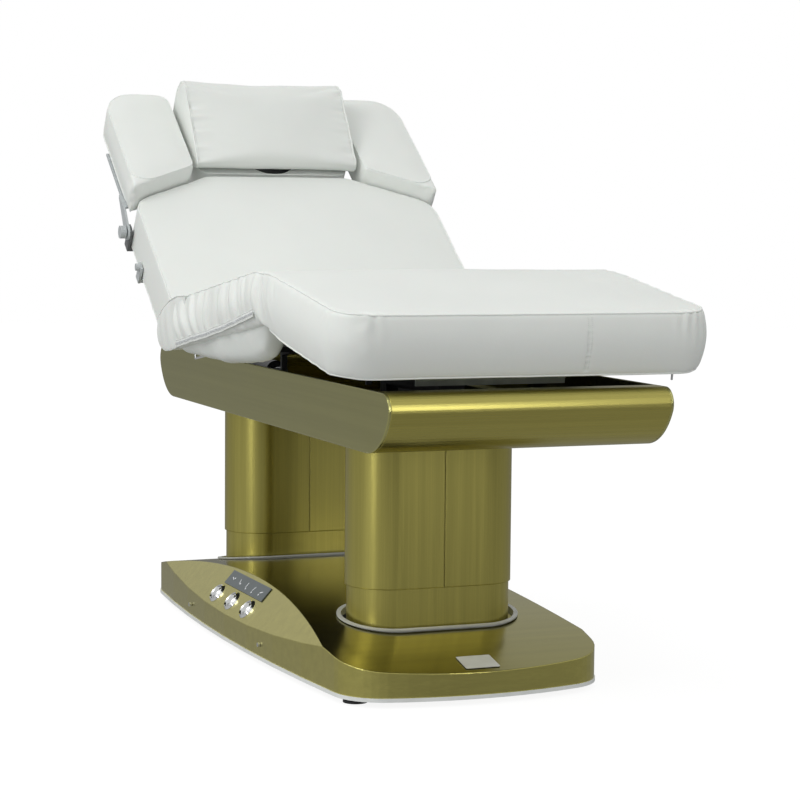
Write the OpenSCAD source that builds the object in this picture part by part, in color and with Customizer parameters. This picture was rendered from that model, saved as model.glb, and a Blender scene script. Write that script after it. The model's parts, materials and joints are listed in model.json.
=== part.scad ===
// Electric treatment bed: a gold plinth, two telescopic columns, a D-ended tray and a
// cushion top whose back, thigh, leg, head and arm-pad sections each turn on a hinge.
// Millimetres. X is the width, Y runs from the foot end (-Y) to the head end (+Y), Z is up.

/* [Layout] */
// Y of the foot end of the leg cushion
foot_y = -935.1; // [-1000:0.1:-850]
// Distance from the foot end to the front column
front_column = 530; // [480:5:600]
// Distance from the foot end to the rear column
rear_column = 1398; // [1340:5:1420]

/* [Plinth] */
// Greatest width of the plinth
base_w = 656; // [620:2:700]
// Distance from the foot end to the front of the plinth
base_front = 196; // [150:2:230]
// Length of the plinth
base_l = 1544; // [1500:2:1600]
// Height of the underside above the floor
base_z = 12; // [10:1:16]
// Top edge of the side walls
side_top = 72; // [60:1:80]
// Highest point of the arched top
crown_z = 157; // [150:1:165]
// Radius of the arched top
crown_r = 3350; // [3200:50:4500]
// Slope of the console facets
facet_angle = 48; // [44:1:52]
// Corner radius in plan
base_corner = 110; // [90:5:130]
// Sheet thickness of the plinth cover
base_wall = 3; // [2:0.5:4]

/* [Columns] */
// Width of the outer sleeves
sleeve_w = 376; // [360:2:380]
// Depth of the outer sleeves
sleeve_d = 186; // [180:2:190]
// Bottom edge of the outer sleeves
sleeve_z = 202; // [196:1:215]
// Sheet thickness of the sleeves
sleeve_wall = 2.5; // [2:0.5:3]

/* [Tray] */
// Outer width of the tray
tray_w = 612; // [600:2:620]
// Top edge of the tray
tray_top = 660; // [655:1:662]
// Height of the tray
tray_h = 124; // [118:1:126]
// Length of the tray
tray_l = 1610; // [1580:2:1620]
// Radius of the rounded tray ends
end_r = 130; // [125:1:135]

/* [Cushions] */
// Width of the cushions
cushion_w = 800; // [780:2:800]
// Thickness of the cushions
cushion_t = 118; // [110:1:120]
// Hip hinge, distance from the foot end
hip_at = 1186; // [1180:1:1190]
// Hip hinge height
hip_z = 728; // [726:1:732]
// Back angle as stored
back_rest = 36.8; // [30:0.1:40]
// Thigh angle as stored
thigh_rest = 7.9; // [6:0.1:9]
// Angle between the thigh and leg sections as stored
knee_rest = 16.7; // [14:0.1:18]
// Distance from the hip hinge to the knee hinge along the thigh section
thigh_l = 703.5; // [690:0.5:710]
// Length of the leg cushion beyond the knee hinge
leg_l = 466; // [450:1:480]
// Corner radius of the leg cushion
leg_corner = 70; // [70:2:120]

/* [Head end] */
// Length of the back cushion at the shoulders
shoulder_s = 416; // [400:2:420]
// Length of the back cushion at the neck
neck_s = 524; // [510:2:530]
// Half the width of the neck
neck_x = 190; // [180:2:200]
// Half the width across the arm pads
pad_x = 408; // [402:2:430]
// Far end of the arm pads
pad_s = 830; // [800:5:850]
// Far end of the head cushion
head_s = 846; // [820:2:860]

/* [Hidden] */
$fn = 64;

gold = "#b59a4c";
steel = "#b9bcc0";
white = "#eef0ea";
columns_y = [foot_y + front_column, foot_y + rear_column];
base_mid = foot_y + base_front + base_l / 2;
hip_y = foot_y + hip_at;
tray_y = foot_y - 14;
tray_z = tray_top - tray_h;
half_t = cushion_t / 2;
big = 3000;
slack = 0.05;          // radial clearance of running fits

// ---------- shared shapes ----------
module rounded(w, l, r) {
  square([w - 2 * r, l], center = true);
  square([w, l - 2 * r], center = true);
  for (x = [-1, 1], y = [-1, 1]) translate([x * (w / 2 - r), y * (l / 2 - r)]) circle(r);
}
module stadium(w, d) {
  square([w - d, d], center = true);
  for (x = [-1, 1]) translate([x * (w - d) / 2, 0]) circle(d / 2);
}
module bar(size, at) { translate(at) cube(size, center = true); }
module along_x(r, x0, x1, y = 0, z = 0) {
  translate([x0, y, z]) rotate([0, 90, 0]) cylinder(r = r, h = x1 - x0);
}
module along_y(r, y0, y1, x = 0, z = 0) {
  translate([x, y0, z]) rotate([-90, 0, 0]) cylinder(r = r, h = y1 - y0);
}
// Local frames: +Y runs up the section, +Z is its upper side, the origin is its hinge
module back_frame() { translate([0, hip_y, hip_z]) rotate([back_rest, 0, 0]) children(); }
module thigh_frame() { translate([0, hip_y, hip_z]) rotate([-thigh_rest, 0, 0]) children(); }
knee_n = -half_t - 8;
module leg_frame() {
  thigh_frame() translate([0, -thigh_l, knee_n]) rotate([knee_rest, 0, 0]) children();
}

// ---------- plinth ----------
bow_r = 820;           // bowed ends
side_r = 6200;         // slightly bowed sides
function meet(p, r1, q, r2) =
  let (d = norm(q - p), a = (r1 * r1 - r2 * r2 + d * d) / (2 * d), u = (q - p) / d)
  p + a * u - sqrt(r1 * r1 - a * a) * [-u[1], u[0]];
function way(from, to) = atan2(to[1] - from[1], to[0] - from[0]);
function arc(c, r, a0, a1, n) =
  [for (i = [0:n]) let (a = a0 + (a1 - a0) * i / n) c + r * [cos(a), sin(a)]];
// One quarter of the plan: bowed end, corner, long side
function quarter(w, l, r) =
  let (bow = [0, bow_r - l], side = [w - side_r, 0], corner = meet(side, side_r - r, bow, bow_r - r),
    a = way(bow, corner), b = way(side, corner))
  concat(arc(bow, bow_r, -90, a, 5), [for (i = [1:8]) arc(corner, r, a, b, 8)[i]],
    [for (i = [1:4]) arc(side, side_r, b, 0, 4)[i]]);
module base_plan(inset = 0) {
  q = quarter(base_w / 2 - inset, base_l / 2 - inset, base_corner - inset);
  n = len(q);
  polygon(concat(q, [for (i = [n - 2:-1:0]) [q[i][0], -q[i][1]]],
    [for (i = [1:n - 1]) -q[i]], [for (i = [n - 2:-1:1]) [-q[i][0], q[i][1]]]));
}
// Solid plinth block: plan, arched top and the two sloping facets
module base_block(inset, z0) {
  translate([0, base_mid, 0]) intersection() {
    translate([0, 0, z0]) linear_extrude(200) base_plan(inset);
    along_x(crown_r - inset, -500, 500, 0, crown_z - crown_r, $fn = 2400);
    below_facet(-1, inset);
    below_facet(1, inset);
  }
}
module below_facet(side, inset) {
  mirror([side > 0 ? 1 : 0, 0, 0]) translate([-base_w / 2, 0, side_top])
    rotate([0, -facet_angle, 0]) translate([-300, -big / 2, -1200 - inset])
    cube([1600, big, 1200]);
}
// Left facet frame: X runs up the slope, Y along the bed, Z points out of the facet
module facet() { translate([-base_w / 2, 0, side_top]) rotate([0, -facet_angle, 0]) children(); }
function facet_x(up, out) = -base_w / 2 + up * cos(facet_angle) - out * sin(facet_angle);
button_up = 36;
button_r = 17;
bezel_r = 25;
buttons_at = [foot_y + 868, foot_y + 982, foot_y + 1096];
panel_up = [66, 104];
panel_y = [foot_y + 826, foot_y + 1102];
module button_holes(r, depth) {
  for (y = buttons_at) facet() translate([button_up, y, -depth]) cylinder(r = r, h = depth + 40);
}
module base_shell() {
  color(gold) difference() {
    base_block(0, base_z + 8);
    base_block(base_wall, base_z);
    for (y = columns_y) translate([0, y, 0]) linear_extrude(300) stadium(400, 210);
    button_holes(button_r + 2, 30);
    facet() translate([panel_up[0] + 2, panel_y[0] + 2, -20])
      cube([panel_up[1] - panel_up[0] - 4, panel_y[1] - panel_y[0] - 4, 60]);
    translate([0, base_mid + base_l / 2, 46]) cube([52, 60, 32], center = true);
    for (side = [-1, 1], y = screws_y) along_x(3, side * screw_x - 20, side * screw_x + 20, y, 46);
  }
}
module base_trim() {
  color("#d8dad6") translate([0, base_mid, base_z]) linear_extrude(8) difference() {
    base_plan(-2);
    base_plan(base_wall);
  }
}
module base_frame() {
  color("#55585c") difference() {
    union() {
      for (x = [-205, 205]) bar([40, 1330, 8], [x, base_mid, 24]);
      for (y = columns_y) bar([440, 200, 8], [0, y, 24]);
      for (y = feet_y) bar([550, 50, 8], [0, y, 24]);
      bar([450, 200, 8], [0, base_mid, 24]);
    }
    for (x = feet_x, y = feet_y) translate([x, y, 0]) cylinder(r = 6 + slack, h = 60);
  }
}
feet_x = [-252, 252];
feet_y = [base_mid - 662, base_mid + 662];
module levelling_feet() {
  color("#1c1c1e") for (x = feet_x, y = feet_y) translate([x, y, 0]) {
    cylinder(r = 26, h = 6);
    translate([0, 0, 6]) cylinder(r = 14, h = 8);
    translate([0, 0, 14]) cylinder(r = 6, h = 24);
  }
}
module console_panel() {
  color("#33373c") facet() translate([panel_up[0], panel_y[0], 0.2]) {
    cube([panel_up[1] - panel_up[0], panel_y[1] - panel_y[0], 2.2]);
    translate([6, 6, -12]) cube([26, panel_y[1] - panel_y[0] - 12, 12]);
  }
}
module panel_icons() {
  color("white") facet() for (i = [0:4]) {
    y = panel_y[0] + 34 + i * 52;
    translate([panel_up[0] + 19, y, 2.4]) rotate([0, 0, 35 * (i - 2)]) {
      translate([-7, -1.2, 0]) cube([14, 2.4, 0.4]);
      translate([-9, -5, 0]) cylinder(r = 2.4, h = 0.4);
    }
  }
}
module button_bezels() {
  color("#d9dbdd") for (y = buttons_at) facet() translate([button_up, y, 0.2]) {
    rotate_extrude() polygon([[button_r + 1, -14], [button_r + 1, 5], [button_r + 3, 7],
      [bezel_r - 3, 5], [bezel_r, 0], [button_r + 1.9, 0], [button_r + 1.9, -14]]);
  }
}
module button(y) {
  color("#e4e6e6") facet() translate([button_up, y, -13]) {
    cylinder(r = button_r, h = 17);
    translate([0, 0, 17]) cylinder(r1 = button_r - 1, r2 = button_r - 4, h = 3);
    translate([0, 0, -8]) cylinder(r = 5, h = 8);
  }
}
module button_raise() { button(buttons_at[0]); }
module button_lower() { button(buttons_at[1]); }
module button_back() { button(buttons_at[2]); }
screw_x = base_w / 2 - 5;
screws_y = [foot_y + 721, foot_y + 1254];
module cover_screws() {
  color(steel) for (side = [-1, 1], y = screws_y)
    translate([side * screw_x, y, 46]) rotate([0, side * 90, 0]) {
      cylinder(r = 5, h = 5);
      translate([0, 0, -10]) cylinder(r = 2.5, h = 10);
    }
}
module rating_plate() {
  at = base_front + 46;
  rise = crown_z - (base_l / 2 - 46) * (base_l / 2 - 46) / (2 * crown_r);
  tilt = asin((base_l / 2 - 46) / crown_r);
  color("#e9ebe8") translate([-6, foot_y + at, rise + 0.3]) rotate([tilt, 0, 0])
    linear_extrude(0.8) rounded(76, 60, 3);
}
module column_rings() {
  color("#dfe1de") for (y = columns_y) {
    tilt = asin((base_mid - y) / crown_r);
    z = crown_z - (base_mid - y) * (base_mid - y) / (2 * crown_r);
    translate([0, y, z]) rotate([tilt, 0, 0]) difference() {
      union() {
        translate([0, 0, -12]) linear_extrude(14) stadium(399, 206);
        translate([0, 0, 1.7]) linear_extrude(3.3) stadium(411, 219);
      }
      translate([0, 0, -30]) linear_extrude(60) stadium(392, 200);
    }
  }
}
module control_box() {
  color("#3c3f43") bar([240, 190, 80], [0, base_mid, 68]);
}
module mains_inlet() {
  y = base_mid + base_l / 2;
  color("#222326") difference() {
    union() {
      bar([50, 34, 30], [0, y - 14, 46]);
      bar([60, 3, 40], [0, y + 1.8, 46]);
    }
    bar([38, 22, 18], [0, y - 4, 46]);
  }
}

// ---------- telescopic columns ----------
post_r = 55;
mid_r = 45;
lift_r = 35;
module post(y) {
  color("#6a6d71") translate([0, y, 28]) difference() {
    union() {
      cylinder(r = post_r, h = 292);
      cylinder(r = 80, h = 8);
    }
    translate([0, 0, -1]) cylinder(r = mid_r + slack, h = 300);
  }
}
module post_front() { post(columns_y[0]); }
module post_rear() { post(columns_y[1]); }
module mid_tube(y) {
  inner = [sleeve_w - 8 - 2 * sleeve_wall, sleeve_d - 8 - 2 * sleeve_wall];
  color("#8a8d91") translate([0, y, 0]) difference() {
    union() {
      translate([0, 0, 62]) cylinder(r = mid_r, h = 378);
      translate([0, 0, 425]) linear_extrude(6) stadium(inner[0], inner[1]);
    }
    cylinder(r = lift_r + slack, h = 500);
  }
}
module mid_tube_front() { mid_tube(columns_y[0]); }
module mid_tube_rear() { mid_tube(columns_y[1]); }
module lower_sleeve(y) {
  w = sleeve_w - 8;
  d = sleeve_d - 8;
  color(gold) translate([0, y, 60]) linear_extrude(395) difference() {
    stadium(w, d);
    stadium(w - 2 * sleeve_wall, d - 2 * sleeve_wall);
  }
}
module lower_sleeve_front() { lower_sleeve(columns_y[0]); }
module lower_sleeve_rear() { lower_sleeve(columns_y[1]); }
module sleeve_half(y, side) {
  color(gold) translate([0, y, sleeve_z]) linear_extrude(tray_z - sleeve_z) intersection() {
    difference() {
      stadium(sleeve_w, sleeve_d);
      stadium(sleeve_w - 2 * sleeve_wall, sleeve_d - 2 * sleeve_wall);
    }
    translate([side * 150.7, 0]) square([300, 300], center = true);
  }
}
module sleeve_front_left() { sleeve_half(columns_y[0], -1); }
module sleeve_front_right() { sleeve_half(columns_y[0], 1); }
module sleeve_rear_left() { sleeve_half(columns_y[1], -1); }
module sleeve_rear_right() { sleeve_half(columns_y[1], 1); }
module lift_tube(y) {
  color(steel) translate([0, y, 130]) difference() {
    cylinder(r = lift_r, h = tray_z - 130);
    translate([0, 0, -1]) cylinder(r = lift_r - 5, h = tray_z - 140);
  }
}
module lift_tube_front() { lift_tube(columns_y[0]); }
module lift_tube_rear() { lift_tube(columns_y[1]); }

// ---------- tray ----------
side_t = 5;
// Side view of the tray in Y and Z, drawn inset from the outside
lip_r = 34;             // upper radius of the rounded tray ends
nose_y = end_r - sqrt(pow(end_r - lip_r, 2) - pow(end_r + lip_r - tray_h, 2));
function nose(inset) =
  let (turn = 180 + asin((end_r + lip_r - tray_h) / (end_r - lip_r)),
    top = inset > 0 ? tray_top + 1 : tray_top)
  concat(arc([tray_y + end_r, tray_z + end_r], end_r - inset, 270, turn, 14),
    [for (i = [1:12]) arc([tray_y + nose_y, tray_top - lip_r], lip_r - inset, turn, 90, 12)[i]],
    [[tray_y + nose_y, top]]);
module tray_profile(inset = 0) {
  front = nose(inset);
  mid = 2 * tray_y + tray_l;
  rear = [for (i = [len(front) - 1:-1:0]) [mid - front[i][0], front[i][1]]];
  polygon(concat(front, rear));
}
// Turns a Y-Z outline into a solid between x0 and x1
module across(x0, x1) {
  translate([x0, 0, 0]) rotate([90, 0, 90]) linear_extrude(x1 - x0) children();
}
module tray_side_left() { color(gold) across(-tray_w / 2, side_t - tray_w / 2) tray_profile(); }
module tray_side_right() { color(gold) across(tray_w / 2 - side_t, tray_w / 2) tray_profile(); }
beam_depth = 170;
inner_w = tray_w - 2 * side_t;
module beam(y0) {
  color(gold) union() {
    across(-inner_w / 2, inner_w / 2) intersection() {
      difference() {
        tray_profile();
        tray_profile(3);
      }
      translate([y0, tray_z - 1]) square([beam_depth, tray_h + 2]);
    }
    flange_y = y0 == tray_y ? y0 + nose_y + 20 : y0 + beam_depth - nose_y - 20;
    bar([inner_w, 46, 3], [0, flange_y, tray_top - 1.5]);
  }
}
module front_beam() { beam(tray_y); }
module rear_beam() { beam(tray_y + tray_l - beam_depth); }
module tray_floor() {
  y0 = tray_y + beam_depth;
  y1 = tray_y + tray_l - beam_depth;
  color("#4a4d50") bar([inner_w, y1 - y0, 3], [0, (y0 + y1) / 2, tray_z + 1.5]);
}
module inner_rails() {
  y0 = tray_y + beam_depth + 10;
  y1 = tray_y + tray_l - beam_depth - 10;
  color("#2b2d30") for (x = [-250, 250]) bar([40, y1 - y0, 40], [x, (y0 + y1) / 2, tray_z + 23.2]);
}
bracket_x = 276;
pin_r = 8;
module hip_brackets() {
  color(steel) for (side = [-1, 1]) difference() {
    union() {
      bar([8, 90, 122], [side * bracket_x, hip_y, tray_z + 64]);
      bar([8, 36, 80], [side * bracket_x, hip_y, hip_z - 40]);
      along_x(18, side * bracket_x - 4, side * bracket_x + 4, hip_y, hip_z);
    }
    along_x(pin_r + slack, side * bracket_x - 10, side * bracket_x + 10, hip_y, hip_z);
  }
}
module hip_pins() {
  color(steel) for (side = [-1, 1])
    along_x(pin_r, side * (bracket_x - 8) - 16, side * (bracket_x - 8) + 16, hip_y, hip_z);
}

// ---------- actuators ----------
push_z = 612;
rod_r = 10;
nose_r = 12;
back_x = 110;
leg_x = -110;
back_nose = hip_y - 6 - 10 - nose_r;
leg_nose = hip_y + 6 + 4 + nose_r;
module actuator(x, y0, y1, motor_y) {
  color("#3a3d41") difference() {
    union() {
      along_y(25, y0, y1, x, push_z);
      bar([60, 110, 90], [x, motor_y, push_z]);
      for (y = [y0 + 20, y1 - 20]) bar([30, 20, push_z - tray_z - 3.2], [x, y, (push_z + tray_z + 3.2) / 2]);
    }
    along_y(rod_r + slack, y0 - 5, y1 - 12, x, push_z);
  }
}
module back_actuator() {
  mirror_y(back_nose) actuator(back_x, back_nose + 98, back_nose + 440, back_nose + 440);
}
module leg_actuator() { actuator(leg_x, leg_nose + 40, leg_nose + 260, leg_nose + 240); }
module mirror_y(y) { translate([0, y, 0]) mirror([0, 1, 0]) translate([0, -y, 0]) children(); }
module push_rod(x, y, length) {
  color("#c9ccd0") union() {
    along_y(rod_r, y, y + length, x, push_z);
    along_x(nose_r, x - 14, x + 14, y, push_z);
  }
}
module back_push_rod() { mirror_y(back_nose) push_rod(back_x, back_nose, 330); }
module leg_push_rod() { push_rod(leg_x, leg_nose, 190); }

// ---------- thigh and leg sections ----------
gap = 2;
board_t = 12;
module slab(w, y0, y1, z0, z1) { bar([w, y1 - y0, z1 - z0], [0, (y0 + y1) / 2, (z0 + z1) / 2]); }
module seat_cushion() {
  color(white) thigh_frame() slab(cushion_w, 2 - thigh_l, -half_t - gap, -half_t, half_t);
}
knee_x = 262;
knuckle_r = 7.6;
knee_pin_r = 4;
module seat_board() {
  end = -half_t - gap - 1;
  color("#7d8084") union() {
    thigh_frame() difference() {
      union() {
        slab(528, 24 - thigh_l, end, -half_t - board_t, -half_t);
        for (side = [-1, 1]) {
          bar([6, 110, 12], [side * 264, -40, -half_t - 6]);
          bar([6, 44, half_t + 12], [side * 264, 0, -(half_t + 12) / 2]);
          along_x(22, side * 264 - 3, side * 264 + 3, 0, 0);
          bar([8, 44, 12], [side * knee_x, 22 - thigh_l, knee_n + 2]);
          along_x(knuckle_r, side * knee_x - 4, side * knee_x + 4, -thigh_l, knee_n);
        }
        bar([16, 80, 12], [leg_x, -36, -half_t - 8]);
      }
      along_x(pin_r + slack, -400, 400, 0, 0);
      along_x(knee_pin_r + slack, -400, 400, -thigh_l, knee_n);
      bar([44, 90, 40], [back_x, -100, -half_t - 6]);
    }
    bar([14, 12, 95], [leg_x, hip_y, hip_z - 108.5]);
  }
}
module knee_pins() {
  color(steel) thigh_frame() for (side = [-1, 1])
    along_x(knee_pin_r, side * knee_x - 14, side * knee_x + 14, -thigh_l, knee_n);
}
module side_handle() {
  color("#d5d7da") thigh_frame() for (side = [-1, 1]) translate([side * 360, -130, -half_t - 2]) {
    for (y = [-45, 45]) translate([0, y, -22]) cylinder(r = 3, h = 24);
    along_y(3, -45, 45, 0, -22);
    for (y = [-45, 45]) translate([0, y, -22]) sphere(3);
    bar([30, 110, 3], [0, 0, 0.4]);
  }
}
module leg_cushion() {
  h = cushion_t;
  color(white) leg_frame() translate([0, 0, 8]) intersection() {
    translate([0, 80 - leg_l, 0]) linear_extrude(h) translate([0, leg_l / 2 + 40 - 80]) 
      rounded(cushion_w, leg_l + 80, leg_corner);
    translate([-big / 2, -big - 2, -10]) cube([big, big, 400]);
  }
}
module leg_board() {
  x = knee_x - 10;
  color("#7d8084") leg_frame() difference() {
    union() {
      slab(480, 150 - leg_l, -26, 8 - board_t, 8);
      for (side = [-1, 1]) {
        bar([8, 60, 12], [side * x, -34, 2]);
        along_x(knuckle_r, side * x - 4, side * x + 4, 0, 0);
        bar([14, 40, 12], [side * (x - 7), -44, 2]);
      }
    }
    along_x(knee_pin_r + slack, -400, 400, 0, 0);
  }
}
module leg_front_rail() {
  color("#9a9ea2") leg_frame() union() {
    bar([326, 4, 50], [-32, 112 - leg_l, -17]);
    bar([326, 60, 6], [-32, 140 - leg_l, -7]);
  }
}
zip_x = 322;
module zip_pull() {
  color("#b8bbbe") leg_frame() translate([zip_x, 14 - leg_l, 5.5]) {
    along_x(2, -6, 6, 0, 0);
    bar([4, 2, 22], [0, 0, -12]);
  }
}

// ---------- back section ----------
module back_outline() {
  polygon([[-cushion_w / 2, 0], [cushion_w / 2, 0], [cushion_w / 2, shoulder_s], [neck_x, neck_s],
    [-neck_x, neck_s], [-cushion_w / 2, shoulder_s]]);
}
module back_cushion() {
  color(white) back_frame() difference() {
    union() {
      translate([0, 0, -half_t]) linear_extrude(cushion_t) back_outline();
      along_x(half_t, -cushion_w / 2, cushion_w / 2, 0, 0);
    }
    for (side = [-1, 1]) hip_slot(side * (bracket_x - 5));
  }
}
// Slot in the underside of the lower roll for the hinge plates
module hip_slot(x) {
  rotate([-back_rest, 0, 0]) across(x - 19, x + 19) union() {
    circle(36);
    polygon([[0, 20], [-120, 60], [-120, -120], [100, -120], [100, -36]]);
  }
}
lever_r = 150;
neck_pivot_s = neck_s + 6;
neck_pivot_n = -half_t - 12;
module back_board() {
  under = -half_t - 6;
  color("#7d8084") union() {
    back_frame() difference() {
      union() {
        slab(520, 70, shoulder_s - 6, -half_t - board_t, -half_t);
        slab(350, shoulder_s - 8, neck_s - 20, -half_t - board_t, -half_t);
        bar([16, 144, 12], [back_x, 18, under]);
        for (side = [-1, 1]) {
          x = side * (bracket_x - 22);
          along_x(20, x - 2, x + 2, 0, 0);
          bar([4, 36, half_t + 12], [x, 0, -(half_t + 12) / 2]);
          bar([4, 120, 12], [x, 60, under]);
          bar([150, 30, 12], [side * 332, pivot[0], under]);
          bar([6, 30, 62], [side * 405, pivot[0], -half_t + 19]);
          along_x(15, side * 405 - 3, side * 405 + 3, pivot[0], pivot[1]);
          bar([8, 56, 22], [side * 150, neck_s - 8, -half_t - 11]);
        }
      }
      along_x(pin_r + slack, -300, 300, 0, 0);
      along_x(pivot_r + slack, -420, 420, pivot[0], pivot[1]);
      along_x(5 + slack, -200, 200, neck_pivot_s, neck_pivot_n);
    }
    bar([14, 12, lever_r - 60], [back_x, hip_y, hip_z - 60 - (lever_r - 60) / 2]);
  }
}
module side_lugs() {
  color("#aeb1b5") back_frame() for (side = [-1, 1]) {
    bar([6, 26, 46], [side * 404.5, 262, -half_t + 11]);
    bar([147, 26, 10], [side * 334, 262, -half_t - 5.2]);
    along_x(9, side * 412 - 5, side * 412 + 5, 262, -30);
  }
}

// ---------- head section ----------
head_n = [-20, 55];
hole_s = 612;
hole_r = 68;
module head_cushion() {
  mid = (neck_s + 12 + head_s) / 2;
  color(white) back_frame() translate([0, mid, head_n[0]]) linear_extrude(head_n[1] - head_n[0])
    difference() {
      rounded(390, head_s - neck_s - 12, 40);
      translate([0, hole_s - mid]) circle(hole_r);
    }
}
module head_board() {
  color("#7d8084") back_frame() difference() {
    union() {
      slab(330, neck_s + 13, head_s - 30, head_n[0] - 12, head_n[0]);
      for (side = [-1, 1]) {
        bar([8, 30, 60], [side * 140, neck_s + 28, head_n[0] - 36]);
        bar([8, 36, 12], [side * 140, neck_pivot_s + 16, neck_pivot_n]);
        along_x(11, side * 140 - 4, side * 140 + 4, neck_pivot_s, neck_pivot_n);
      }
    }
    translate([0, hole_s, -100]) cylinder(r = hole_r, h = 200);
    along_x(5 + slack, -200, 200, neck_pivot_s, neck_pivot_n);
  }
}
module neck_pins() {
  color(steel) back_frame() for (side = [-1, 1])
    along_x(5, side * 145 - 14, side * 145 + 14, neck_pivot_s, neck_pivot_n);
}

// ---------- arm pads ----------
pad_n = [10, 100];
pad_in = 228;
pivot = [392, -22];
pivot_r = 6;
module pad_outline() {
  slope = (neck_s - shoulder_s) / (cushion_w / 2 - neck_x);
  clear = 14;
  low_in = neck_s + clear - (pad_in - neck_x) * slope;
  low_out = shoulder_s + clear - (pad_x - cushion_w / 2) * slope;
  r = 88;
  r2 = 42;
  polygon([[pad_in, low_in], [pad_x, low_out], [pad_x, pad_s - r], [pad_x - r, pad_s],
    [pad_in + r2, pad_s], [pad_in, pad_s - r2]]);
  translate([pad_x - r, pad_s - r]) circle(r);
  translate([pad_in + r2, pad_s - r2]) circle(r2);
}
module arm_pad() {
  color(white) back_frame() translate([0, 0, pad_n[0]]) linear_extrude(pad_n[1] - pad_n[0])
    pad_outline();
}
module arm_pad_right() { arm_pad(); }
module arm_pad_left() { mirror([1, 0, 0]) arm_pad(); }
module pad_bracket() {
  x = 409;
  color("#a9adb1") back_frame() union() {
    across(x, x + 5) bracket_side();
    translate([0, 0, pad_n[0] - 6]) linear_extrude(6)
      polygon([[240, 535], [410, 450], [410, 680], [240, 680]]);
    along_x(pivot_r, x - 6, x + 14, pivot[0], pivot[1]);
    along_x(16, x + 8, x + 22, pivot[0], pivot[1]);
  }
}
module bracket_side() {
  translate(pivot) circle(20);
  polygon([[pivot[0] - 14, pivot[1] + 14], [pivot[0] + 14, pivot[1] - 14], [500, 2],
    [504, pad_n[0]], [440, pad_n[0]]]);
}
module pad_bracket_right() { pad_bracket(); }
module pad_bracket_left() { mirror([1, 0, 0]) pad_bracket(); }

// ---------- pillow ----------
pillow_n = head_n[1] + 0.4;
module pillow() {
  color(white) back_frame() across(-222, 222)
    polygon([[566, pillow_n], [546, 64], [540, 92], [744, 178], [788, 172], [808, 134], [804, pillow_n]]);
}

base_shell();
base_trim();
base_frame();
console_panel();
panel_icons();
button_bezels();
cover_screws();
rating_plate();
column_rings();
levelling_feet();
control_box();
mains_inlet();
post_front();
post_rear();
button_raise();
button_lower();
button_back();
lower_sleeve_front();
lower_sleeve_rear();
mid_tube_front();
mid_tube_rear();
sleeve_front_left();
sleeve_front_right();
sleeve_rear_left();
sleeve_rear_right();
lift_tube_front();
lift_tube_rear();
tray_side_left();
tray_side_right();
front_beam();
rear_beam();
tray_floor();
inner_rails();
hip_brackets();
hip_pins();
back_actuator();
leg_actuator();
back_push_rod();
leg_push_rod();
seat_cushion();
seat_board();
knee_pins();
side_handle();
leg_cushion();
leg_board();
leg_front_rail();
zip_pull();
back_cushion();
back_board();
side_lugs();
head_cushion();
head_board();
neck_pins();
arm_pad_left();
arm_pad_right();
pad_bracket_left();
pad_bracket_right();
pillow();
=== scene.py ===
import bpy
import bmesh
import math
import json
import numpy as np
from mathutils import Vector, Matrix, noise
from mathutils.bvhtree import BVHTree


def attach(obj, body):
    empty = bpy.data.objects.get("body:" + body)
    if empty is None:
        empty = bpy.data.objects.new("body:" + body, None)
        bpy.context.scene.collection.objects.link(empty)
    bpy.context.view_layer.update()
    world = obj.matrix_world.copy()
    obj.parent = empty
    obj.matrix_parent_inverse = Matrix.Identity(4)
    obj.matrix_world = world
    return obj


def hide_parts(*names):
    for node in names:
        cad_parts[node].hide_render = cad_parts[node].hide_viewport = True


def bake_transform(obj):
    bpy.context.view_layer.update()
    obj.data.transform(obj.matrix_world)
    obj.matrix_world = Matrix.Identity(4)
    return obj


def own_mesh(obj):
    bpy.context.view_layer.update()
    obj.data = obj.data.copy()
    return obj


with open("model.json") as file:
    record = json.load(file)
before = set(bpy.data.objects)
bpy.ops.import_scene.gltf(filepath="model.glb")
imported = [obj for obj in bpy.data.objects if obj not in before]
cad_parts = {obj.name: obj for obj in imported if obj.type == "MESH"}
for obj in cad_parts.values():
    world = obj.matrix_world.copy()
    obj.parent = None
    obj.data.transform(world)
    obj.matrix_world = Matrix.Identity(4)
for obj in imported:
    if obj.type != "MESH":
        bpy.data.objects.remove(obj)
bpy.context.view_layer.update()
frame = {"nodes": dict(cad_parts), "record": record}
joints = {j["name"]: j for j in frame["record"]["behaviour"]["joints"]}
HIP = Vector(joints["back_tilt"]["pos_m"])
KNEE = Vector(joints["knee_bend"]["pos_m"])
FOOT = HIP.y - 1.186
HALF = 0.059          # half the cushion thickness
WIDE = 0.400          # half the cushion width
T, A, B = math.radians(7.9), math.radians(8.8), math.radians(36.8)
LEG, THIGH = 0.466, 0.7035
SHOULDER, NECK, NECK_X = 0.416, 0.524, 0.190


def thigh(x, y, n):
    return Vector((x, HIP.y + y * math.cos(T) + n * math.sin(T), HIP.z - y * math.sin(T) + n * math.cos(T)))


def leg(x, y, n):
    return Vector((x, KNEE.y + y * math.cos(A) - n * math.sin(A), KNEE.z + y * math.sin(A) + n * math.cos(A)))


def back(x, s, n):
    return Vector((x, HIP.y + s * math.cos(B) - n * math.sin(B), HIP.z + s * math.sin(B) + n * math.cos(B)))


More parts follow.
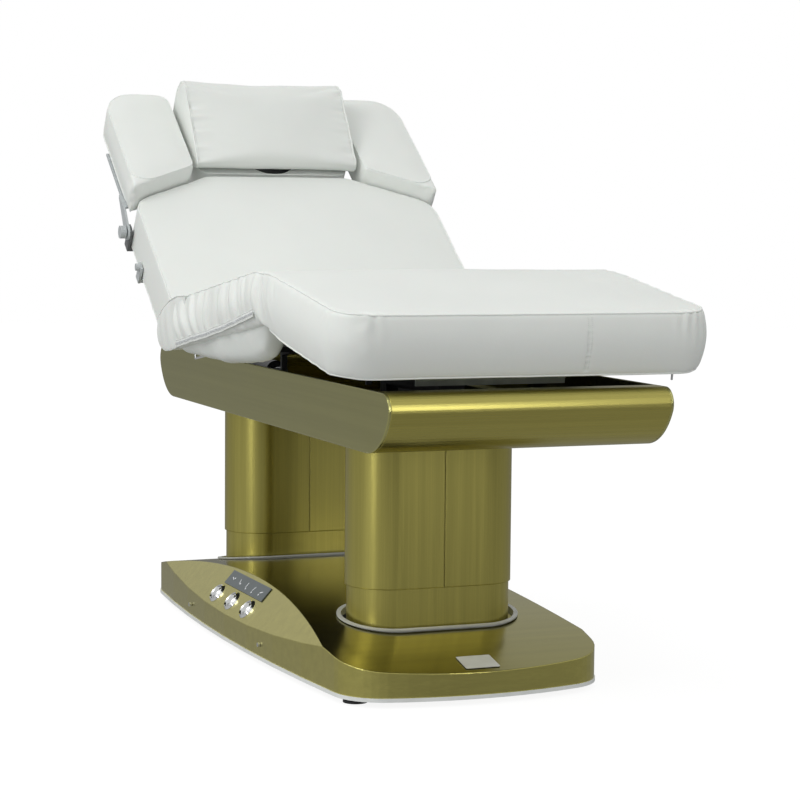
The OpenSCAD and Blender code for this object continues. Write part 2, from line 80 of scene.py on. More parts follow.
# ------------------------------------------------------------------ camera
cam_data = bpy.data.cameras.new("cam")
cam = bpy.data.objects.new("cam", cam_data)
bpy.context.scene.collection.objects.link(cam)
yaw, pitch, roll = math.radians(21.8), math.radians(4.95), math.radians(0.5)
fwd = Vector((math.sin(yaw) * math.cos(pitch), math.cos(yaw) * math.cos(pitch), -math.sin(pitch)))
right = Vector((math.cos(yaw), -math.sin(yaw), 0))
up = right.cross(fwd)
R = right * math.cos(roll) + up * math.sin(roll)
U = up * math.cos(roll) - right * math.sin(roll)
rot = Matrix((R, U, -fwd)).transposed().to_4x4()
cam.matrix_world = Matrix.Translation((-1.864, FOOT - 3.957, 1.018)) @ rot
cam_data.lens = 101.25
cam_data.sensor_width = 36
cam_data.sensor_fit = "HORIZONTAL"
cam_data.clip_end = 50
scene = bpy.context.scene
scene.camera = cam


# ------------------------------------------------------------------ materials
class Nodes:
    def __init__(self, name):
        self.mat = bpy.data.materials.new(name)
        self.mat.use_nodes = True
        self.nt = self.mat.node_tree
        self.bsdf = self.nt.nodes["Principled BSDF"]

    def add(self, kind, props=None, **sockets):
        n = self.nt.nodes.new(kind)
        for k, v in (props or {}).items():
            setattr(n, k, v)
        for k, v in sockets.items():
            n.inputs[k.replace("_", " ")].default_value = v
        return n

    def join(self, a, out, b, into):
        self.nt.links.new(a.outputs[out], b.inputs[into])

    def set(self, **sockets):
        for k, v in sockets.items():
            self.bsdf.inputs[k.replace("_", " ")].default_value = v

    def coords(self, scale=(1, 1, 1)):
        t = self.add("ShaderNodeTexCoord")
        m = self.add("ShaderNodeMapping", Scale=scale)
        self.join(t, "Object", m, "Vector")
        return m

    def noise(self, co, scale, detail=4, rough=0.55):
        n = self.add("ShaderNodeTexNoise", Scale=scale, Detail=detail, Roughness=rough)
        self.join(co, "Vector", n, "Vector")
        return n

    def ramp(self, src, out, stops):
        r = self.add("ShaderNodeValToRGB")
        el = r.color_ramp.elements
        while len(el) < len(stops):
            el.new(0.5)
        for e, (p, c) in zip(el, stops):
            e.position = p
            e.color = (*c, 1) if len(c) == 3 else c
        self.join(src, out, r, "Fac")
        return r

    def span(self, src, out, lo, hi):
        m = self.add("ShaderNodeMapRange")
        m.inputs["To Min"].default_value = lo
        m.inputs["To Max"].default_value = hi
        self.join(src, out, m, "Value")
        return m

    def bump(self, src, out, strength, distance, before=None):
        b = self.add("ShaderNodeBump", Strength=strength, Distance=distance)
        self.join(src, out, b, "Height")
        if before is not None:
            self.join(before, "Normal", b, "Normal")
        self.join(b, "Normal", self.bsdf, "Normal")
        return b


def leather(name, tone, grain=1.0, rough=0.46):
    m = Nodes(name)
    co = m.coords()
    big = m.noise(co, 3.5, 5)
    tint = m.ramp(big, "Fac", [(0.3, [c * 0.965 for c in tone]), (0.7, tone)])
    m.join(tint, "Color", m.bsdf, "Base Color")
    m.set(Roughness=rough, Specular_IOR_Level=0.42, Sheen_Weight=0.06, Sheen_Roughness=0.5,
          Subsurface_Weight=0.03, Subsurface_Scale=0.004, Coat_Weight=0.05, Coat_Roughness=0.35)
    cells = m.add("ShaderNodeTexVoronoi", {"feature": "SMOOTH_F1"}, Scale=820.0, Smoothness=0.6, Randomness=1.0)
    m.join(co, "Vector", cells, "Vector")
    fine = m.noise(co, 1500, 3)
    soft = m.noise(co, 38, 4)
    b1 = m.bump(soft, "Fac", 0.16, 0.0025)
    b2 = m.bump(cells, "Distance", 0.30 * grain, 0.0003, b1)
    m.bump(fine, "Fac", 0.18 * grain, 0.0002, b2)
    patch = m.noise(co, 14, 4)
    r = m.span(patch, "Fac", rough - 0.07, rough + 0.1)
    m.join(r, "Result", m.bsdf, "Roughness")
    return m.mat


def gold(name, tone, rough, grain, fine=1.0, wave=0.0, top_shade=0.0):
    """Gold-coloured stainless. grain is the coordinate scale: large across the brush lines, small along them.
    top_shade is how much darker the faces that look up are: painted shade standing in for the dark reflection on the
    plinth top."""
    m = Nodes(name)
    co = m.coords(grain)
    lines = m.noise(co, 1.0, 6, 0.72)
    streak = m.noise(m.coords([g * 0.12 for g in grain]), 1.0, 4, 0.6)
    mixed = m.add("ShaderNodeMath", {"operation": "MULTIPLY"})
    m.join(lines, "Fac", mixed, 0)
    m.join(streak, "Fac", mixed, 1)
    lo = [c * (0.95 - 0.05 * fine) for c in tone]
    hi = [min(1, c * (1.04 + 0.04 * fine)) for c in tone]
    tint = m.ramp(mixed, "Value", [(0.15, lo), (0.38, hi)])
    # Faces that look up are darkened here: painted shade standing in for the dark reflection on the plinth top.
    if top_shade:
        geo = m.add("ShaderNodeNewGeometry")
        axes = m.add("ShaderNodeSeparateXYZ")
        m.join(geo, "Normal", axes, 0)
        top_shade_ramp = m.ramp(axes, "Z", [(0.55, (1, 1, 1)), (0.93, (1 - top_shade, 1 - top_shade, 1 - top_shade))])
        mul_ = m.add("ShaderNodeMixRGB", {"blend_type": "MULTIPLY"}, Fac=1.0)
        m.join(tint, "Color", mul_, 1)
        m.join(top_shade_ramp, "Color", mul_, 2)
        tint = mul_
    m.join(tint, "Color", m.bsdf, "Base Color")
    m.set(Metallic=1.0)
    r = m.span(lines, "Fac", rough * 0.8, rough * 1.3)
    m.join(r, "Result", m.bsdf, "Roughness")
    bevel = m.add("ShaderNodeBevel", {"samples": 6}, Radius=0.004)
    b = m.bump(lines, "Fac", 0.10 * fine, 0.00012, None)
    m.join(bevel, "Normal", b, "Normal")
    if wave:
        slow = m.noise(m.coords(), 5.0, 2)
        m.bump(slow, "Fac", wave, 0.01, b)
    return m.mat


def plain(name, tone, rough=0.5, metal=0.0, scale=300, bumps=0.12, coat=0.0, vary=0.12, spec=0.5,
          fleck=0.0003):
    m = Nodes(name)
    co = m.coords()
    a = m.noise(co, scale, 5)
    b = m.noise(co, scale * 0.06, 4)
    tint = m.ramp(b, "Fac", [(0.3, [c * (1 - vary) for c in tone]),
                             (0.7, [min(1, c * (1 + vary)) for c in tone])])
    m.join(tint, "Color", m.bsdf, "Base Color")
    m.set(Metallic=metal, Coat_Weight=coat, Coat_Roughness=0.1, Specular_IOR_Level=spec)
    r = m.span(b, "Fac", rough * 0.85, min(1, rough * 1.2))
    m.join(r, "Result", m.bsdf, "Roughness")
    m.bump(a, "Fac", bumps, fleck)
    return m.mat


GOLD = (0.52, 0.465, 0.13)
M = {
    "leather": leather("leather_white", (0.84, 0.865, 0.83)),
    "leather_side": leather("leather_side", (0.80, 0.83, 0.795), 0.8, 0.5),
    # The piping is a brighter copy of the white leather: painted light that offsets the shade along the thin welts.
    "piping": leather("leather_piping", (0.85, 0.875, 0.84), 0.4, 0.42),
    "thread": plain("thread_white", (0.78, 0.80, 0.77), 0.7, 0, 900, 0.5, vary=0.05),
    "gold_v": gold("gold_brushed_vertical", GOLD, 0.30, (420, 420, 3.0)),
    "gold_h": gold("gold_brushed_along_x", GOLD, 0.27, (2.5, 520, 520)),
    "gold_side": gold("gold_polished_side", (0.52, 0.50, 0.20), 0.09, (500, 2.5, 500), 0.3, 0.14),
    # The last number darkens the plinth's upward faces: painted shade for the dark reflection on its top.
    "gold_base": gold("gold_polished_plinth", (0.56, 0.51, 0.16), 0.19, (3.0, 420, 420), 0.55, 0.06, 0.52),
    "trim": plain("trim_pale", (0.80, 0.82, 0.80), 0.3, 0, 500, 0.1, 0.3, 0.05),
    "ring": plain("ring_rubber", (0.50, 0.51, 0.49), 0.42, 0, 700, 0.2, 0.2, 0.06),
    "steel": plain("steel_bright", (0.62, 0.63, 0.64), 0.3, 1, 700, 0.15, vary=0.08),
    "grey": plain("lacquer_grey", (0.36, 0.385, 0.38), 0.42, 0.35, 900, 0.25, 0.15, 0.1),
    "panel": plain("panel_grey", (0.34, 0.37, 0.355), 0.38, 0.5, 420, 0.3, 0.1, 0.14),
    "lightgrey": plain("lacquer_light", (0.56, 0.59, 0.60), 0.4, 0.25, 900, 0.2, 0.1, 0.06),
    "chrome": plain("chrome", (0.86, 0.87, 0.87), 0.07, 1, 120, 0.02, vary=0.03),
    "satin": plain("chrome_satin", (0.78, 0.79, 0.79), 0.2, 1, 500, 0.1, vary=0.05),
    "black": plain("rubber_black", (0.012, 0.012, 0.013), 0.55, 0, 800, 0.4, vary=0.3),
    "plastic": plain("plastic_black", (0.02, 0.021, 0.024), 0.42, 0, 1100, 0.35, 0.1, 0.2),
    "frame": plain("powder_coat", (0.055, 0.058, 0.062), 0.5, 0.1, 1300, 0.5, vary=0.15),
    "glass": plain("panel_glass", (0.10, 0.12, 0.125), 0.34, 0, 60, 0.03, 0.12, 0.15, 0.3),
    "print": plain("print_white", (0.86, 0.88, 0.9), 0.5, 0, 400, 0.05, vary=0.04),
    "label": plain("label_plate", (0.62, 0.63, 0.6), 0.35, 0.2, 600, 0.1, 0.2, 0.06),
    "zip": plain("zip_metal", (0.72, 0.74, 0.75), 0.34, 0.15, 900, 0.5, vary=0.1),
    "tape": plain("zip_tape", (0.76, 0.78, 0.76), 0.8, 0, 1500, 0.6, vary=0.1),
    "fabric_in": plain("lining", (0.10, 0.105, 0.11), 0.85, 0, 900, 0.5, vary=0.2),
    "board": plain("board_grey", (0.17, 0.175, 0.18), 0.6, 0.1, 700, 0.4, vary=0.15),
}


def paint(node, key):
    o = frame["nodes"][node]
    o.data.materials.clear()
    o.data.materials.append(M[key])


PAINT = {
    "gold_base": ["base_shell"],
    "gold_side": ["tray_side_left", "tray_side_right"],
    "gold_h": ["front_beam", "rear_beam"],
    "gold_v": ["lower_sleeve_front", "lower_sleeve_rear", "sleeve_front_left", "sleeve_front_right",
               "sleeve_rear_left", "sleeve_rear_right"],
    "trim": ["base_trim"],
    "ring": ["column_rings"],
    "frame": ["base_frame", "tray_floor", "post_front", "post_rear", "inner_rails"],
    "steel": ["mid_tube_front", "mid_tube_rear", "lift_tube_front", "lift_tube_rear", "hip_pins", "knee_pins",
              "neck_pins", "back_push_rod", "leg_push_rod", "hip_brackets", "cover_screws"],
    "lightgrey": ["side_lugs", "pad_bracket_left", "pad_bracket_right"],
    "panel": ["leg_front_rail"],
    "board": ["seat_board", "leg_board", "back_board", "head_board"],
    "chrome": ["button_bezels", "side_handle"],
    "satin": ["button_raise", "button_lower", "button_back", "zip_pull"],
    "black": ["levelling_feet"],
    "plastic": ["control_box", "mains_inlet", "back_actuator", "leg_actuator"],
    "glass": ["console_panel"],
    "print": ["panel_icons"],
    "label": ["rating_plate"],
}
for key, names in PAINT.items():
    for name in names:
        paint(name, key)

# Smooth shading on the metal and plastic parts. The printed marks stay flat.
for names in PAINT.values():
    for name in names:
        if name != "panel_icons":
            for p in frame["nodes"][name].data.polygons:
                p.use_smooth = True


# ------------------------------------------------------------------ mesh helpers
def new_object(name, bm, mats):
    me = bpy.data.meshes.new(name)
    bm.to_mesh(me)
    bm.free()
    o = bpy.data.objects.new(name, me)
    scene.collection.objects.link(o)
    for m in mats:
        me.materials.append(M[m])
    for p in me.polygons:
        p.use_smooth = True
    return o


def coords_of(me):
    a = np.empty(len(me.vertices) * 3)
    me.vertices.foreach_get("co", a)
    return a.reshape(-1, 3)


def set_coords(me, a):
    me.vertices.foreach_set("co", np.asarray(a, np.float32).ravel())
    me.update()


def normals_of(me):
    a = np.empty(len(me.vertices) * 3)
    me.vertices.foreach_get("normal", a)
    return a.reshape(-1, 3)


def apply_all(o):
    dg = bpy.context.evaluated_depsgraph_get()
    me = bpy.data.meshes.new_from_object(o.evaluated_get(dg))
    old = o.data
    o.modifiers.clear()
    o.data = me
    if old.users == 0:
        bpy.data.meshes.remove(old)
    for p in me.polygons:
        p.use_smooth = True


def prism(bm, ring_a, ring_b):
    a = [bm.verts.new(p) for p in ring_a]
    b = [bm.verts.new(p) for p in ring_b]
    n = len(a)
    bm.faces.new(a[::-1])
    bm.faces.new(b)
    for i in range(n):
        bm.faces.new((a[i], a[(i + 1) % n], b[(i + 1) % n], b[i]))
    bmesh.ops.recalc_face_normals(bm, faces=bm.faces)


def smooth_path(pts, step=0.006, rounds=0, closed=False):
    p = np.array([list(q) for q in pts], float)
    if closed:
        p = np.vstack([p, p[:1]])
    seg = np.linalg.norm(np.diff(p, axis=0), axis=1)
    s = np.concatenate([[0], np.cumsum(seg)])
    n = max(2, int(round(s[-1] / step)))
    t = np.linspace(0, s[-1], n + 1)
    q = np.stack([np.interp(t, s, p[:, i]) for i in range(3)], 1)
    if closed:
        q = q[:-1]
    for _ in range(rounds):
        if closed:
            q = 0.5 * q + 0.25 * (np.roll(q, 1, 0) + np.roll(q, -1, 0))
        else:
            q[1:-1] = 0.5 * q[1:-1] + 0.25 * (q[:-2] + q[2:])
    return q


def snap(path, tree, lift):
    out = []
    for p in path:
        loc, nrm, _, _ = tree.find_nearest(Vector(p))
        out.append(loc + nrm * lift)
    return out


def tube(bm, path, radius, sides=8, mat=0, closed=False, flat=1.0, normals=None):
    path = [Vector(p) for p in path]
    n = len(path)
    rings = []
    prev = None
    for i, p in enumerate(path):
        a = path[i - 1] if (i > 0 or closed) else p
        b = path[(i + 1) % n] if (i < n - 1 or closed) else p
        t = (b - a).normalized()
        ref = normals[i] if normals is not None else (prev if prev is not None else Vector((0.3, 0.2, 1)))
        u = ref - t * ref.dot(t)
        if u.length < 1e-6:
            u = t.orthogonal()
        u.normalize()
        prev = u
        v = t.cross(u)
        rings.append([bm.verts.new(p + u * (radius * flat * math.cos(k * 2 * math.pi / sides)) +
                                   v * (radius * math.sin(k * 2 * math.pi / sides))) for k in range(sides)])
    for i in range(n if closed else n - 1):
        r0, r1 = rings[i], rings[(i + 1) % n]
        for k in range(sides):
            f = bm.faces.new((r0[k], r0[(k + 1) % sides], r1[(k + 1) % sides], r1[k]))
            f.material_index = mat
            f.smooth = True
    if not closed:
        for r, flip in ((rings[0], True), (rings[-1], False)):
            f = bm.faces.new(r[::-1] if flip else r)
            f.material_index = mat


def stitches(bm, path, tree, pitch=0.0042, long=0.0028, r=0.00045, mat=0, lift=0.0003):
    q = smooth_path(path, pitch)
    for i in range(len(q) - 1):
        d = q[i + 1] - q[i]
        L = np.linalg.norm(d)
        if L < 1e-5:
            continue
        a = q[i]
        b = q[i] + d / L * long
        pa, na, _, _ = tree.find_nearest(Vector(a))
        pb, nb, _, _ = tree.find_nearest(Vector(b))
        middle = (pa + pb) / 2 + (na + nb) * 0.5 * (lift + r)
        tube(bm, [pa + na * lift * 0.2, middle, pb + nb * lift * 0.2], r, 5, mat)


def seg_distance(co, lines):
    best = np.full(len(co), 1e9)
    for line in lines:
        p = smooth_path(line, 0.012)
        for k in range(0, len(p), 400):
            c = p[k:k + 400]
            if len(co) * len(c) < 4e7:
                d = np.sqrt(((co[:, None, :] - c[None, :, :]) ** 2).sum(2)).min(1)
            else:
                d = np.full(len(co), 1e9)
                for q in c:
                    d = np.minimum(d, ((co - q) ** 2).sum(1))
                d = np.sqrt(d)
            best = np.minimum(best, d)
    return best


def round_over(o, voxel, rounds=3, shrink=0.004):
    m = o.modifiers.new("remesh", "REMESH")
    m.mode = "VOXEL"
    m.voxel_size = voxel
    m.adaptivity = 0
    s = o.modifiers.new("smooth", "SMOOTH")
    s.factor = 0.5
    s.iterations = rounds
    apply_all(o)
    me = o.data
    set_coords(me, coords_of(me) - normals_of(me) * shrink)


def inflate(o, pins, cap, frames=16, pressure=4.0, pin_reach=0.012):
    """Cloth under pressure: panels swell between their seams, which stay put. cap is the most a point moves."""
    me = o.data
    start = coords_of(me).copy()
    near = seg_distance(start, pins)
    vg = o.vertex_groups.new(name="pin")
    for i in np.nonzero(near < pin_reach)[0]:
        vg.add([int(i)], 1.0, "REPLACE")
    c = o.modifiers.new("cloth", "CLOTH")
    c.settings.quality = 4
    c.settings.mass = 0.25
    c.settings.tension_stiffness = 12
    c.settings.compression_stiffness = 8
    c.settings.shear_stiffness = 5
    c.settings.bending_stiffness = 0.6
    c.settings.use_pressure = True
    c.settings.uniform_pressure_force = pressure
    c.settings.vertex_group_mass = "pin"
    c.settings.effector_weights.gravity = 0
    c.collision_settings.use_collision = False
    c.collision_settings.use_self_collision = False
    c.point_cache.frame_start = 1
    c.point_cache.frame_end = frames
    for f in range(1, frames + 1):
        scene.frame_set(f)
    apply_all(o)
    me = o.data
    end = coords_of(me)
    move = end - start
    size = np.linalg.norm(move, axis=1)
    top = np.percentile(size, 99.5) + 1e-9
    k = min(3.0, cap / top)
    move *= k
    size *= k
    over = np.maximum(size / cap, 1)
    set_coords(me, start + move / over[:, None])
    scene.frame_set(1)
    o.vertex_groups.clear()


def subdivide(o, levels=1):
    s = o.modifiers.new("sub", "SUBSURF")
    s.levels = s.render_levels = levels
    apply_all(o)


def fbm(p, scale, seed):
    return noise.fractal(Vector((p[0] * scale + seed, p[1] * scale - seed, p[2] * scale + 2 * seed)), 1.0, 2.0, 3)


def finish_cushion(o, seams, nodes, grooves=(), thread=(), pipe=0.0019, mats=("leather", "piping", "thread")):
    """Seams: the welted edges. Grooves: plain seams pressed into the panel. Thread: lines of visible stitches."""
    for m in mats[len(o.data.materials):]:
        o.data.materials.append(M[m])
    me = o.data
    co = coords_of(me)
    nrm = normals_of(me)
    if grooves:
        d = seg_distance(co, grooves)
        co = co - nrm * (0.0030 * np.exp(-(d / 0.0055) ** 2))[:, None]
        set_coords(me, co)
    bm = bmesh.new()
    bm.from_mesh(me)
    tree = BVHTree.FromBMesh(bm)
    for line, closed in seams:
        q = snap(smooth_path(line, 0.006, 2, closed), tree, pipe * 0.15)
        q = [Vector(v) for v in smooth_path(q, 0.005, 3, closed)]
        tube(bm, q, pipe, 8, 1, closed)
    for line in thread:
        stitches(bm, line, tree, mat=2)
    bm.to_mesh(me)
    bm.free()
    for p in me.polygons:
        p.use_smooth = True
    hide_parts(*nodes)


def looped(ring):
    return ring + ring[:1]


def arc_pts(fn, cx, cy, r, a0, a1, n, h):
    out = []
    for i in range(n + 1):
        a = math.radians(a0 + (a1 - a0) * i / n)
        out.append(fn(cx + r * math.cos(a), cy + r * math.sin(a), h))
    return out


# ------------------------------------------------------------------ leg and thigh: one cover over the knee
def leg_outline(h):
    """The cover's edge from the hip round the foot end and back, at height h over the leg board."""
    w, r, y0 = WIDE, 0.070, -LEG
    n = HALF if h > 0.06 else -HALF
    pts = [thigh(-w, -HALF - 0.004, n), thigh(-w, -THIGH + 0.05, n), leg(-w, -0.05, h), leg(-w, y0 + r, h)]
    pts += arc_pts(leg, -w + r, y0 + r, r, 180, 270, 10, h)
    pts += arc_pts(leg, w - r, y0 + r, r, 270, 360, 10, h)
    return pts + [leg(w, -0.05, h), thigh(w, -THIGH + 0.05, n), thigh(w, -HALF - 0.004, n)]


bm = bmesh.new()
for n in ("leg_cushion", "seat_cushion"):
    bm.from_mesh(frame["nodes"][n].data)
bmesh.ops.remove_doubles(bm, verts=bm.verts, dist=1e-5)
knee = [(leg, -0.006, 0.126), (leg, 0.0185, 0.1262), (thigh, -THIGH + 0.006, HALF), (thigh, -THIGH + 0.006, -HALF),
        (leg, -0.006, 0.008)]
prism(bm, [f(-WIDE, y, n) for f, y, n in knee], [f(WIDE, y, n) for f, y, n in knee])
lt = new_object("leg_thigh_cover", bm, ["leather"])
top_line = leg_outline(0.126)
low_line = leg_outline(0.008)
deep = 0.011          # the real cover hangs this much below its board at the front


def leg_n(co):
    ry, rz = co[:, 1] - KNEE.y, co[:, 2] - KNEE.z
    return ry * math.cos(A) + rz * math.sin(A), -ry * math.sin(A) + rz * math.cos(A)


def deepen(o):
    me = o.data
    co = coords_of(me)
    y, n = leg_n(co)
    k = np.clip((-0.03 - y) / 0.12, 0, 1)
    k = k * k * (3 - 2 * k)
    drop = k * deep * np.clip((0.126 - n) / 0.118, 0, 1)
    co[:, 1] += drop * math.sin(A)
    co[:, 2] -= drop * math.cos(A)
    set_coords(me, co)


round_over(lt, 0.0075, 3, 0.0005)
deepen(lt)
low_line = [v - Vector((0, -math.sin(A), math.cos(A))) * (deep if v.y < FOOT + 0.30 else 0) for v in low_line]
hip_low = [thigh(x, -HALF - 0.004, -HALF) for x in (-WIDE, WIDE)]
inflate(lt, [top_line, low_line, hip_low], 0.013, frames=14)
# Round the knee: the top of the bend is a soft roll, not an edge.
me = lt.data
co = coords_of(me)
kt = np.array(leg(0, 0.018, 0.126))
d = np.abs(co[:, 1] - kt[1])
topside = np.clip((co[:, 2] - (kt[2] - 0.05)) / 0.03, 0, 1)
co[:, 2] -= 0.004 * np.exp(-(d / 0.03) ** 2) * topside
set_coords(me, co)
y, n = leg_n(co)
v = np.clip((0.126 - n) / 0.129, 0, 1)
v = np.where(co[:, 1] > KNEE.y, np.clip((HIP.z + (HIP.y - co[:, 1]) * math.tan(T) + HALF - co[:, 2]) / 0.12, 0, 1), v)
nr = normals_of(me)
flat_n = np.clip((np.hypot(nr[:, 0], nr[:, 1]) - 0.6) / 0.3, 0, 1)
puff = 0.0125 * np.sin(math.pi * v) * flat_n
co[:, 0] += nr[:, 0] * puff
co[:, 1] += nr[:, 1] * puff
set_coords(me, co)
subdivide(lt, 1)


def leg_wrinkles(o):
    me = o.data
    co = coords_of(me)
    nrm = normals_of(me)
    out = np.zeros(len(co))
    side = (np.abs(nrm[:, 0]) > 0.55)
    for i in np.nonzero(side)[0]:
        x, y, z = co[i]
        d = y - FOOT
        if d < 0.36:
            continue
        k = min(1.0, (d - 0.36) / 0.10)
        rel = (d - 0.48)
        ztop = 0.886 - max(0.0, rel) * math.tan(T) if d > 0.48 else 0.886 - (0.48 - d) * math.tan(A)
        low = min(1.0, max(0.0, (ztop - z) / 0.114))
        if low <= 0 or low >= 1:
            continue
        lean = (ztop - z) * 0.35
        wob = 0.03 * noise.noise(Vector((d * 7, z * 9, 3.1 + x)))
        ph = (d + lean + wob)
        a = noise.noise(Vector((ph * 27, 0.4 + x, z * 3.0)))
        b = noise.noise(Vector((ph * 75, 7.4 + x, z * 5.0)))
        fold = abs(a) ** 0.8 * (1 if a > 0 else -1)
        out[i] = k * math.sin(low * math.pi) ** 0.7 * (0.0115 * fold + 0.0030 * b)
    for i in np.nonzero(~side | (co[:, 1] < FOOT + 0.36))[0]:
        x, y, z = co[i]
        out[i] += 0.0012 * fbm((x, y, z), 5.0, 4.0)
        # little puckers below the welt at the two front corners
        cx = abs(abs(x) - 0.355)
        dy = y - FOOT
        if dy < 0.11 and cx < 0.08 and z < 0.815:
            g = math.exp(-(cx / 0.04) ** 2) * math.exp(-((0.812 - z) / 0.05) ** 2)
            drift = 2.0 * noise.noise(Vector((x * 20, y * 20, z * 30)))
            out[i] += 0.0022 * g * math.sin((x + dy) * 230 + drift)
    set_coords(me, co + nrm * out[:, None])


leg_wrinkles(lt)
front_y = -LEG - 0.002
seam_front = [leg(0.118, front_y - 0.01, 0.126 - 0.004), leg(0.118, front_y - 0.014, 0.07),
              leg(0.118, front_y - 0.004, 0.012)]
thread_a = [Vector((v.x - 0.004, v.y, v.z)) for v in seam_front]
thread_b = [Vector((v.x + 0.004, v.y, v.z)) for v in seam_front]
finish_cushion(lt, [(top_line, False), (low_line[2:-2], False)], ["leg_cushion", "seat_cushion"],
               grooves=[seam_front], thread=[thread_a, thread_b])

# Zip along the lower side of the thigh cover: two rows of teeth on a tape.
bm = bmesh.new()
bm.from_mesh(lt.data)
tree = BVHTree.FromBMesh(bm)
bm.free()
zb = bmesh.new()
for side in (-1, 1):
    zl = [Vector((side * WIDE, FOOT + d, z)) for d, z in (
        (0.500, 0.796), (0.60, 0.776), (0.727, 0.752), (0.86, 0.729), (0.97, 0.714), (1.10, 0.693))]
    q = snap(smooth_path(zl, 0.005, 4), tree, 0.0016)
    q = [Vector(v) for v in smooth_path(q, 0.005, 14)]
    tube(zb, q, 0.0075, 10, 0, False, 0.16, [Vector((side, 0, 0))] * len(q))
    for off in (-0.0013, 0.0013):
        row = smooth_path([p + Vector((side * 0.0014, 0, off)) for p in q], 0.0022, 3)
        tube(zb, row, 0.0012, 8, 1)
    for rim_z in (0.0075, -0.0075):
        tube(zb, [p + Vector((side * 0.0004, 0, rim_z)) for p in q], 0.0012, 6, 2)
zipper = new_object("thigh_zip", zb, ["tape", "zip", "thread"])
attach(zipper, "thigh")

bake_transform(lt)

# ------------------------------------------------------------------ soft under-cover of the thigh, down to the tray
skirt_line = [(0.478, 0.772, 0.0), (0.500, 0.735, 0.4), (0.535, 0.697, 0.9), (0.60, 0.682, 1.0), (0.70, 0.671, 1.0),
              (0.815, 0.664, 1.0), (0.95, 0.664, 1.0), (1.05, 0.666, 0.9), (1.115, 0.668, 0.6)]
bm = bmesh.new()
across = 61
rows = []
S = smooth_path([Vector((d, z, k)) for d, z, k in skirt_line], 0.012, 2)
for d, zb_, k in S:
    ztop = HIP.z + (1.186 - d) * math.tan(T) - (HALF - 0.012) / math.cos(T)
    rowt, rowb = [], []
    for j in range(across):
        x = -0.392 + 0.784 * j / (across - 1)
        e = max(0.0, (abs(x) - 0.352) / 0.040)
        edge = math.sqrt(max(0.0, 1 - min(1.0, e) ** 2))
        inner = 0.16 + 0.84 * min(1.0, max(0.0, (abs(x) - 0.322) / 0.012))
        zz = ztop - 0.014 - (ztop - 0.014 - zb_) * (0.15 + 0.85 * edge) * inner
        rowt.append(bm.verts.new((x, FOOT + d, ztop)))
        rowb.append(bm.verts.new((x, FOOT + d, zz)))
    rows.append((rowt, rowb))
for i in range(len(rows) - 1):
    (t0, b0), (t1, b1) = rows[i], rows[i + 1]
    for j in range(across - 1):
        bm.faces.new((t0[j], t0[j + 1], t1[j + 1], t1[j]))
        bm.faces.new((b0[j], b1[j], b1[j + 1], b0[j + 1]))
    bm.faces.new((t0[0], t1[0], b1[0], b0[0]))
    bm.faces.new((t0[-1], b0[-1], b1[-1], t1[-1]))
for (t, b), flip in ((rows[0], False), (rows[-1], True)):
    for j in range(across - 1):
        f = (t[j], b[j], b[j + 1], t[j + 1])
        bm.faces.new(f[::-1] if flip else f)
bmesh.ops.recalc_face_normals(bm, faces=bm.faces)
skirt = new_object("thigh_under_cover", bm, ["leather_side"])
round_over(skirt, 0.008, 4, 0.001)
skirt_pins = [[Vector((sx * 0.392, FOOT + d, HIP.z + (1.186 - d) * math.tan(T) - HALF)) for d in (0.48, 1.1)]
              for sx in (-1, 1)]
inflate(skirt, skirt_pins, 0.006, frames=10, pressure=2.5)
subdivide(skirt, 1)
me = skirt.data
co = coords_of(me)
nrm = normals_of(me)
amp = np.array([0.0035 * fbm(p, 6.0, 9.0) + 0.0015 * noise.noise(Vector((p[1] * 30, p[2] * 12, p[0] * 6)))
                for p in co])
co = co + nrm * amp[:, None]
TRAY_TOP = 0.6625     # the under-cover rests just clear of the tray's top edge
co[:, 2] = np.maximum(co[:, 2], TRAY_TOP)
set_coords(me, co)
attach(skirt, "thigh")
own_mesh(skirt)

